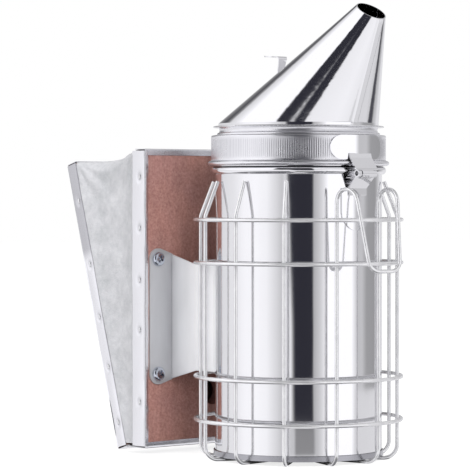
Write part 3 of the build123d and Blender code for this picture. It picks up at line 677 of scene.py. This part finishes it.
def thumb_tab(materials):
    """The lid's tab: a foot on the cone's back, a waisted leg and a tongue with a rounded end."""
    corners = [Vector((x, 0, z)) * MM for x, z in TAB_CORNERS]
    path = [corners[0]]
    for before, corner, after in zip(corners, corners[1:], corners[2:]):
        start = corner + (before - corner).normalized() * TAB_BEND
        end = corner + (after - corner).normalized() * TAB_BEND
        even_steps(path, start, 7)
        for t in (i / 8 for i in range(1, 9)):
            path.append(start * (1 - t) ** 2 + corner * 2 * t * (1 - t) + end * t * t)
    even_steps(path, corners[-1], 14)
    run = [0.0]
    for a, b in zip(path, path[1:]):
        run.append(run[-1] + (b - a).length)
    grid = []
    for index, (point, along) in enumerate(zip(path, run)):
        half = from_table(TAB_WIDTHS, along / MM) * MM
        left = run[-1] - along
        if left < TAB_ROUND:
            half = max(0.0, TAB_ROUND**2 - (TAB_ROUND - left) ** 2) ** 0.5
        half = max(half, 0.3 * MM)
        tangent = (path[min(index + 1, len(path) - 1)] - path[max(index - 1, 0)]).normalized()
        normal = Vector((-tangent.z, 0, tangent.x)) * TAB_SHEET / 2
        across = [Vector((0, half * (j / 6 - 1), 0)) for j in range(13)]
        grid.append([(point + aside + normal, point + aside - normal) for aside in across])
    thing = finish_piece(shell("thumb_tab", grid, 50), materials, "tinned_steel", "lifting_tab")
    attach(thing, "lid")


def seam_fold(materials):
    """The cone's lock seam: a folded ridge with rounded flanks from the flange up to the mouth."""
    along = (SEAM_TOP - SEAM_FOOT).normalized()
    away = Vector((along.z, 0, -along.x))
    section = SEAM_HALF + [(0.0, 0.78)] + [(-across, rise) for across, rise in reversed(SEAM_HALF)]
    rows, length, buried = 80, 60, -0.30
    grid = []
    for i in range(rows + 1):
        place = length * i / rows
        point = SEAM_FOOT.lerp(SEAM_TOP, i / rows)
        widen = 1 + 0.05 * wobble(0, 0, place, 8.0, 3.3)
        row = []
        for across, rise in section:
            lift = rise + 0.10 * wobble(0, across, place, 9.0, 5.2)
            aside = Vector((0, across * widen * MM, 0))
            under = min(buried, lift + buried)
            row.append((point + away * lift * MM + aside, point + away * under * MM + aside * 0.9))
        grid.append(row)
    thing = finish_piece(shell("seam_fold", grid, 50), materials, "tinned_steel")
    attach(thing, "lid")


# ---- materials ----


class Nodes:
    """A material's node tree, with short ways to add and join its nodes."""

    def __init__(self, name, **values):
        self.material = bpy.data.materials.new(name)
        self.material.use_nodes = True
        self.tree = self.material.node_tree
        self.shader = self.tree.nodes["Principled BSDF"]
        self.place = self.add("ShaderNodeTexCoord").outputs["Object"]
        for key, value in values.items():
            self.shader.inputs[key.replace("_", " ")].default_value = value

    def add(self, kind, **values):
        node = self.tree.nodes.new(kind)
        for key, value in values.items():
            setattr(node, key, value)
        return node

    def join(self, source, target):
        """Feeds a socket from another node's output, or sets it to a number or a colour."""
        if isinstance(source, float):
            target.default_value = source
        elif isinstance(source, tuple):
            target.default_value = (*source, 1.0)
        else:
            self.tree.links.new(source, target)

    def finish(self, colour, rough, normal):
        self.join(colour, self.shader.inputs["Base Color"])
        self.join(rough, self.shader.inputs["Roughness"])
        self.join(normal, self.shader.inputs["Normal"])
        return self.material

    def texture(self, kind, scale, stretch=(1, 1, 1), **values):
        """A procedural texture in object space, in cycles per metre."""
        mapping = self.add("ShaderNodeMapping")
        mapping.inputs["Scale"].default_value = stretch
        self.join(self.place, mapping.inputs["Vector"])
        node = self.add(kind)
        node.inputs["Scale"].default_value = scale
        for key, value in values.items():
            node.inputs[key].default_value = value
        self.join(mapping.outputs["Vector"], node.inputs["Vector"])
        return node

    def clouds(self, scale, stretch=(1, 1, 1), **values):
        return self.texture("ShaderNodeTexNoise", scale, stretch, **values).outputs["Fac"]

    def marks(self, name):
        """The numbers that mark() stored."""
        return self.add("ShaderNodeAttribute", attribute_name=name).outputs["Fac"]

    def math(self, operation, *values):
        node = self.add("ShaderNodeMath", operation=operation)
        for socket, value in zip(node.inputs, values):
            self.join(value, socket)
        return node.outputs["Value"]

    def ramp(self, source, *stops):
        """A colour ramp with (position, colour) stops."""
        node = self.add("ShaderNodeValToRGB")
        ramp = node.color_ramp
        while len(ramp.elements) < len(stops):
            ramp.elements.new(0.5)
        for element, (position, colour) in zip(ramp.elements, stops):
            element.position = position
            element.color = (*colour, 1.0)
        self.join(source, node.inputs["Fac"])
        return node.outputs["Color"]

    def span(self, source, low, high, start=0.0, end=1.0):
        """Maps start..end to low..high."""
        node = self.add("ShaderNodeMapRange")
        for name, value in (("From Min", start), ("From Max", end), ("To Min", low), ("To Max", high)):
            node.inputs[name].default_value = value
        self.join(source, node.inputs["Value"])
        return node.outputs["Result"]

    def mix(self, factor, first, second, kind="MIX"):
        node = self.add("ShaderNodeMix", data_type="RGBA", blend_type=kind)
        self.join(factor, node.inputs["Factor"])
        self.join(first, node.inputs[6])
        self.join(second, node.inputs[7])
        return node.outputs[2]

    def bump(self, height, distance, strength=1.0, under=None):
        node = self.add("ShaderNodeBump")
        node.inputs["Strength"].default_value = strength
        node.inputs["Distance"].default_value = distance
        self.join(height, node.inputs["Height"])
        if under is not None:
            self.join(under, node.inputs["Normal"])
        return node.outputs["Normal"]


def tinned_sheet(name, colour, roughness, ripple, tarnish=0.25):
    """Bright tinned steel: mirror sheet with faint ripple, hairline polish marks and a few dull patches."""
    n = Nodes(name, Metallic=1.0)
    waves = n.clouds(28.0, stretch=(1, 1, 0.35), Detail=2.0)
    lines = n.clouds(900.0, stretch=(1, 1, 0.03), Detail=3.0)
    patches = n.clouds(60.0, Detail=6.0, Roughness=0.65)
    dull = tuple(0.86 * c for c in colour)
    return n.finish(
        n.mix(n.span(patches, 0.0, tarnish), colour, dull),
        n.math("MULTIPLY_ADD", patches, roughness * 0.9, roughness * 0.55),
        n.bump(waves, ripple, under=n.bump(lines, 0.00001, 0.25)),
    )


def ribbed_tin(name):
    """The collar's tin, duller than the can's, its colour darker along the grooves between its ribs."""
    n = Nodes(name, Metallic=1.0)
    patches = n.clouds(70.0, Detail=6.0, Roughness=0.65)
    streaks = n.clouds(500.0, stretch=(1, 1, 0.12), Detail=4.0)
    worn = n.mix(n.span(patches, 0.0, 0.9), (0.95, 0.95, 0.97), (0.78, 0.78, 0.81))
    # The colour is darker along the grooves, broken up by streaks.
    groove_darkening = n.math("MULTIPLY", n.marks("groove"), n.span(streaks, 0.15, 0.85))
    return n.finish(
        n.mix(groove_darkening, worn, (0.50, 0.50, 0.53)),
        n.span(patches, 0.22, 0.34),
        n.bump(patches, 0.00006, 0.5),
    )


def strip_tin(name):
    """The nailed strips' tin, greyer where the pieces' marks paint shade: towards the moving strip's top,
    along its free edge and in the nail dents.
    """
    n = Nodes(name, Metallic=1.0)
    waves = n.clouds(28.0, stretch=(1, 1, 0.35), Detail=2.0)
    patches = n.clouds(60.0, Detail=6.0, Roughness=0.65)
    tin = n.mix(n.span(patches, 0.0, 0.3), (0.92, 0.92, 0.945), (0.76, 0.76, 0.79))
    # The grey that the marks mix in is painted shade.
    colour = n.mix(n.marks("painted_shade"), tin, (0.34, 0.34, 0.365))
    return n.finish(colour, n.span(patches, 0.10, 0.22), n.bump(waves, 0.0006))


def bright_wire(name):
    """Drawn and plated guard wire, a little satin and a little blotched."""
    n = Nodes(name, Metallic=0.72)
    grain = n.clouds(1400.0, Detail=4.0)
    blotch = n.clouds(140.0, Detail=4.0)
    return n.finish(
        n.ramp(blotch, (0.3, (0.80, 0.80, 0.815)), (0.7, (0.92, 0.92, 0.93))),
        n.span(grain, 0.16, 0.27),
        n.bump(blotch, 0.00008, 0.5),
    )


def satin_sheet(name, colour, roughness):
    """Plain plated steel with a soft grain and faint spangle."""
    n = Nodes(name, Metallic=1.0)
    spangle = n.texture("ShaderNodeTexVoronoi", 240.0).outputs["Color"]
    grain = n.clouds(2200.0, Detail=4.0)
    cloud = n.clouds(40.0, Detail=5.0)
    pale = tuple(min(1.0, 1.08 * c) for c in colour)
    return n.finish(
        n.mix(0.06, n.mix(cloud, colour, pale), spangle, "SOFT_LIGHT"),
        n.span(grain, roughness * 0.8, roughness * 1.2),
        n.bump(grain, 0.00003, 0.5),
    )


def folded_sheet(name):
    """The brackets' galvanised sheet, painted darker on the flange screwed to the board and brighter towards
    the can, as painted shade and light.
    """
    n = Nodes(name, Metallic=0.4)
    split = n.add("ShaderNodeSeparateXYZ")
    n.join(n.place, split.inputs["Vector"])
    along = n.span(split.outputs["X"], 0.0, 1.0, -76.7 * MM, -54.0 * MM)
    grain = n.clouds(2200.0, Detail=4.0)
    cloud = n.clouds(60.0, stretch=(1, 1, 0.3), Detail=5.0)
    # Painted shade and light: the colour grows from grey on the flange to near white towards the can.
    painted_shading = n.ramp(
        along,
        (0.0, (0.585, 0.59, 0.615)),
        (0.06, (0.78, 0.785, 0.81)),
        (0.45, (0.90, 0.905, 0.93)),
        (0.8, (0.98, 0.98, 1.0)),
    )
    smear = n.ramp(cloud, (0.35, (0.90, 0.90, 0.90)), (0.65, (1.04, 1.04, 1.04)))
    colour = n.mix(0.8, painted_shading, smear, "MULTIPLY")
    return n.finish(colour, n.span(grain, 0.28, 0.42), n.bump(grain, 0.00003, 0.5))


def hardboard(name):
    """Brown-red hardboard with a fine fibrous, slightly mottled and streaky face."""
    n = Nodes(name, Specular_IOR_Level=0.3)
    fibre = n.clouds(1500.0, stretch=(1, 1, 0.55), Detail=5.0, Roughness=0.7)
    streaks = n.clouds(150.0, stretch=(1, 1, 0.22), Detail=5.0, Distortion=0.6)
    speck = n.clouds(650.0, Detail=6.0, Roughness=0.8)
    cloud = n.clouds(26.0, Detail=5.0)
    base = n.ramp(
        speck,
        (0.30, (0.323, 0.150, 0.129)),
        (0.50, (0.476, 0.248, 0.217)),
        (0.72, (0.634, 0.389, 0.326)),
    )
    warm = n.ramp(cloud, (0.35, (0.82, 0.80, 0.82)), (0.65, (1.05, 1.0, 0.94)))
    rubbed = n.ramp(streaks, (0.38, (0.86, 0.85, 0.86)), (0.62, (1.12, 1.12, 1.14)))
    return n.finish(
        n.mix(0.8, base, n.mix(0.8, warm, rubbed, "MULTIPLY"), "MULTIPLY"),
        n.span(speck, 0.55, 0.85),
        n.bump(speck, 0.0002, 0.4, under=n.bump(fibre, 0.00025, 0.55)),
    )


def grey_leather(name):
    """Pale grey split leather: cloudy colour, tiny pores and soft creases."""
    n = Nodes(name, Specular_IOR_Level=0.35, Sheen_Weight=0.15, Sheen_Roughness=0.6)
    cloud = n.clouds(55.0, Detail=6.0, Roughness=0.6)
    mottle = n.clouds(320.0, Detail=5.0, Roughness=0.7)
    pores = n.texture("ShaderNodeTexVoronoi", 1100.0).outputs["Distance"]
    creases = n.clouds(120.0, stretch=(1, 1, 0.5), Detail=3.0, Distortion=0.8)
    base = n.ramp(
        cloud,
        (0.30, (0.50, 0.51, 0.53)),
        (0.50, (0.60, 0.60, 0.625)),
        (0.72, (0.70, 0.70, 0.725)),
    )
    spots = n.ramp(mottle, (0.35, (0.86, 0.87, 0.88)), (0.62, (1.04, 1.04, 1.04)))
    soft = n.bump(mottle, 0.00035, 0.5, under=n.bump(creases, 0.0009, 0.5))
    colour = n.mix(0.75, base, spots, "MULTIPLY")
    return n.finish(colour, n.span(mottle, 0.48, 0.72), n.bump(pores, 0.00012, 0.5, under=soft))


def sooty_steel(name):
    """Blued, slightly scaled sheet."""
    n = Nodes(name, Metallic=0.9)
    scale = n.clouds(180.0, Detail=6.0)
    return n.finish(
        n.ramp(scale, (0.35, (0.16, 0.16, 0.17)), (0.7, (0.42, 0.42, 0.44))),
        n.span(scale, 0.35, 0.65),
        n.bump(scale, 0.00015, 0.4),
    )


def dress(thing, material):
    """Gives a CAD node one material all over."""
    for slot in thing.material_slots:
        slot.material = material
    if not thing.material_slots:
        thing.data.materials.append(material)


def dress_frame(frame, materials):
    """Gives each CAD node the material of its slot."""
    for entry in frame["record"]["subparts"]:
        dress(frame["nodes"][entry["node"]], materials[entry["material_slot"]])


# ---- studio ----

# The near part of the table, which the can's foot reflects on two sides: the first and last azimuth, how far
# it reaches, and its brightness by azimuth beyond a paler stretch beside the can.
GLIMPSES = [
    (-14, 24, 0.285, [(-14, 0.80), (-6, 0.77), (-3, 0.55), (20, 0.55), (24, 0.76)]),
    (82, 138, 0.62, [(82, 0.84), (138, 0.86)]),
]
PALE_REACH, PALE_LEVEL = 0.055, 0.87
LAMP_TARGET = Vector((-0.05, 0, 0.12))


def bare_material(name):
    """A new material with no shader yet, and its node tree."""
    material = bpy.data.materials.new(name)
    material.use_nodes = True
    tree = material.node_tree
    tree.nodes.remove(tree.nodes["Principled BSDF"])
    return material, tree


def only_reflected(thing):
    """Hides a thing from everything but reflections."""
    thing.visible_camera = False
    thing.visible_diffuse = False
    thing.visible_shadow = False


def studio_dome(radius):
    """An unseen wall of light and shade round the object, which polished metal reflects."""
    columns = 360
    heights = [*range(-87, -16), *(quarter / 4 for quarter in range(-64, 49)), *range(13, 88)]
    vertices, levels = [], []
    for height in heights:
        flat, rise = radius * cos(radians(height)), radius * sin(radians(height))
        for j in range(columns):
            angle = -180 + 360 * j / columns
            around = TOWARD_CAMERA + radians(angle)
            vertices.append((flat * cos(around), flat * sin(around), CAMERA_HEIGHT + rise))
            levels.append(studio_level(angle, height))
    light_card("studio_dome", vertices, grid_faces(len(heights), columns, close_columns=True), levels)


def table_glimpse():
    """Two cards for the near part of the table that the can's foot reflects."""
    can_radius = 50 * MM
    for index, (first, last, reach, beyond) in enumerate(GLIMPSES):
        steps = (0.0, PALE_REACH, PALE_REACH + 20 * MM, 0.5 * reach, 0.94 * reach, reach)
        vertices, levels = [], []
        for distance in steps:
            for angle in range(first, last + 1):
                side, away = TOWARD_CAMERA + radians(angle / 2), TOWARD_CAMERA + radians(angle)
                x = can_radius * cos(side) + distance * cos(away)
                y = can_radius * sin(side) + distance * sin(away)
                vertices.append((x, y, -0.1 * MM))
                levels.append(emission(PALE_LEVEL if distance <= PALE_REACH else from_table(beyond, angle)))
        light_card(f"table_glimpse_{index}", vertices, grid_faces(len(steps), last - first + 1), levels)


def light_card(name, vertices, faces, levels):
    """A surface that only reflections see, as bright as its levels say, and bluer where it is dark."""
    card = mesh_object(name, vertices, faces)
    mark(card, "level", levels)
    material, tree = bare_material(name)
    link = tree.links.new
    glow = tree.nodes.new("ShaderNodeEmission")
    source = tree.nodes.new("ShaderNodeAttribute")
    source.attribute_name = "level"
    tint = tree.nodes.new("ShaderNodeValToRGB")
    for element, (strength, colour) in zip(tint.color_ramp.elements, TINTS):
        element.position = strength
        element.color = (*colour, 1.0)
    link(source.outputs["Fac"], tint.inputs["Fac"])
    link(tint.outputs["Color"], glow.inputs["Color"])
    link(source.outputs["Fac"], glow.inputs["Strength"])
    link(glow.outputs["Emission"], tree.nodes["Material Output"].inputs["Surface"])
    card.data.materials.append(material)
    only_reflected(card)


def shade_under():
    """A dark round card under the can that only reflections see, as deep shade."""
    radius, sides = 0.92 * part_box("can_bottom")[1][0], 48
    bearings = [2 * pi * i / sides for i in range(sides)]
    rim = [(radius * cos(bearing), radius * sin(bearing), 0.05 * MM) for bearing in bearings]
    card = mesh_object("shade_card", rim, [tuple(range(sides))])
    material = bpy.data.materials.new("shade_card")
    material.use_nodes = True
    material.node_tree.nodes["Principled BSDF"].inputs["Base Color"].default_value = (0.02, 0.02, 0.022, 1)
    card.data.materials.append(material)
    only_reflected(card)


def studio_floor():
    """A wide pale floor that the camera sees as white, with the object's faint shadow on it."""
    size, level = 6.0, -0.2 * MM
    corners = [(-size, -size, level), (size, -size, level), (size, size, level), (-size, size, level)]
    floor = mesh_object("studio_floor", corners, [(0, 1, 2, 3)])
    material, tree = bare_material("studio_floor")
    link = tree.links.new
    diffuse = tree.nodes.new("ShaderNodeBsdfDiffuse")
    diffuse.inputs["Color"].default_value = (0.42, 0.42, 0.42, 1)
    glow = tree.nodes.new("ShaderNodeEmission")
    link(strength_for(tree, 0.80, 0.0, "Camera", "Glossy"), glow.inputs["Strength"])
    both = tree.nodes.new("ShaderNodeAddShader")
    link(diffuse.outputs[0], both.inputs[0])
    link(glow.outputs[0], both.inputs[1])
    link(both.outputs[0], tree.nodes["Material Output"].inputs["Surface"])
    floor.data.materials.append(material)
    floor.visible_glossy = False


def studio_world():
    """White where the camera or metal looks past everything, and soft grey light on the rest."""
    world = bpy.data.worlds.new("studio")
    bpy.context.scene.world = world
    world.use_nodes = True
    tree = world.node_tree
    background = tree.nodes["Background"]
    background.inputs["Color"].default_value = (1, 1, 1, 1)
    strength = strength_for(tree, 0.5, 0.5, "Camera", "Glossy", "Transmission")
    tree.links.new(strength, background.inputs["Strength"])


def strength_for(tree, more, least, *kinds):
    """A strength of least for every ray, and of more on top of it for these kinds of ray."""
    link = tree.links.new
    paths = tree.nodes.new("ShaderNodeLightPath")
    seen = paths.outputs[f"Is {kinds[0]} Ray"]
    for kind in kinds[1:]:
        either = tree.nodes.new("ShaderNodeMath")
        either.operation = "MAXIMUM"
        link(seen, either.inputs[0])
        link(paths.outputs[f"Is {kind} Ray"], either.inputs[1])
        seen = either.outputs[0]
    strength = tree.nodes.new("ShaderNodeMath")
    strength.operation = "MULTIPLY_ADD"
    link(seen, strength.inputs[0])
    strength.inputs[1].default_value = more
    strength.inputs[2].default_value = least
    return strength.outputs[0]


def area_lamp(name, place, size, power):
    data = bpy.data.lights.new(name, "AREA")
    data.shape = "SQUARE"
    data.size = size
    data.energy = power
    lamp = new_object(name, data)
    lamp.location = place
    lamp.rotation_euler = (LAMP_TARGET - Vector(place)).to_track_quat("-Z", "Y").to_euler()
    lamp.visible_glossy = False


def stand_camera():
    data = bpy.data.cameras.new("camera")
    data.lens = LENS
    data.sensor_width = SENSOR
    data.clip_end = 50
    camera = new_object("camera", data)
    across = radians(CAMERA_AZIMUTH)
    camera.location = (CAMERA_DISTANCE * sin(across), -CAMERA_DISTANCE * cos(across), CAMERA_HEIGHT)
    aim = Vector((-AIM_LEFT * cos(across), -AIM_LEFT * sin(across), AIM_HEIGHT))
    camera.rotation_euler = (aim - camera.location).to_track_quat("-Z", "Y").to_euler()
    bpy.context.scene.camera = camera


# ---- scene ----

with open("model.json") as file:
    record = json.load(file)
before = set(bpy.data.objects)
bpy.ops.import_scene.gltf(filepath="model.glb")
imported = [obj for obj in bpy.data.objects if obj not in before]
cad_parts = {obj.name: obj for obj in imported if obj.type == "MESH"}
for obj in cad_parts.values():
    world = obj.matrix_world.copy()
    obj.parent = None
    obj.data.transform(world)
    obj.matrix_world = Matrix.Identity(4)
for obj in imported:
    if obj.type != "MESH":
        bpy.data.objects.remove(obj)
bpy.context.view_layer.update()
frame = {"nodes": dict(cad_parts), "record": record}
bpy.context.scene.view_settings.view_transform = "Standard"

MATERIALS = {
    "tinned_steel": tinned_sheet("tinned_steel", (0.90, 0.90, 0.915), 0.07, 0.00018),
    "grate_steel": sooty_steel("grate_steel"),
    "rivet_steel": satin_sheet("rivet_steel", (0.80, 0.80, 0.81), 0.28),
    "bright_wire": bright_wire("bright_wire"),
    "bracket_steel": folded_sheet("bracket_steel"),
    "zinc_screws": tinned_sheet("zinc_screws", (0.66, 0.70, 0.78), 0.16, 0.00005),
    "hardboard": hardboard("hardboard"),
    "grey_leather": grey_leather("grey_leather"),
    "spring_steel": tinned_sheet("spring_steel", (0.42, 0.43, 0.45), 0.22, 0.00005),
    "edge_strip": strip_tin("edge_strip"),
}
dress_frame(frame, MATERIALS)
make_bellows(MATERIALS)
rolled_tin = ribbed_tin("rolled_collar")
ribbed_collar(MATERIALS, rolled_tin)
lid_neck(MATERIALS, rolled_tin)
seam_fold(MATERIALS)
thumb_tab(MATERIALS)
dress(frame["nodes"]["hinge_pin"], MATERIALS["grate_steel"])
# The can's bottom ring is painted dark grey as painted shade, for the shade under the can.
dress(frame["nodes"]["can_bottom"], tinned_sheet("bottom_painted_shade", (0.46, 0.46, 0.49), 0.22, 0.0002, tarnish=0.9))

shade_under()
studio_world()
studio_dome(12.0)
table_glimpse()
studio_floor()
area_lamp("key_lamp", (-0.3, -1.9, 1.1), 1.3, 22.0)
area_lamp("side_lamp", (1.7, -0.6, 1.0), 1.3, 30.0)
stand_camera()
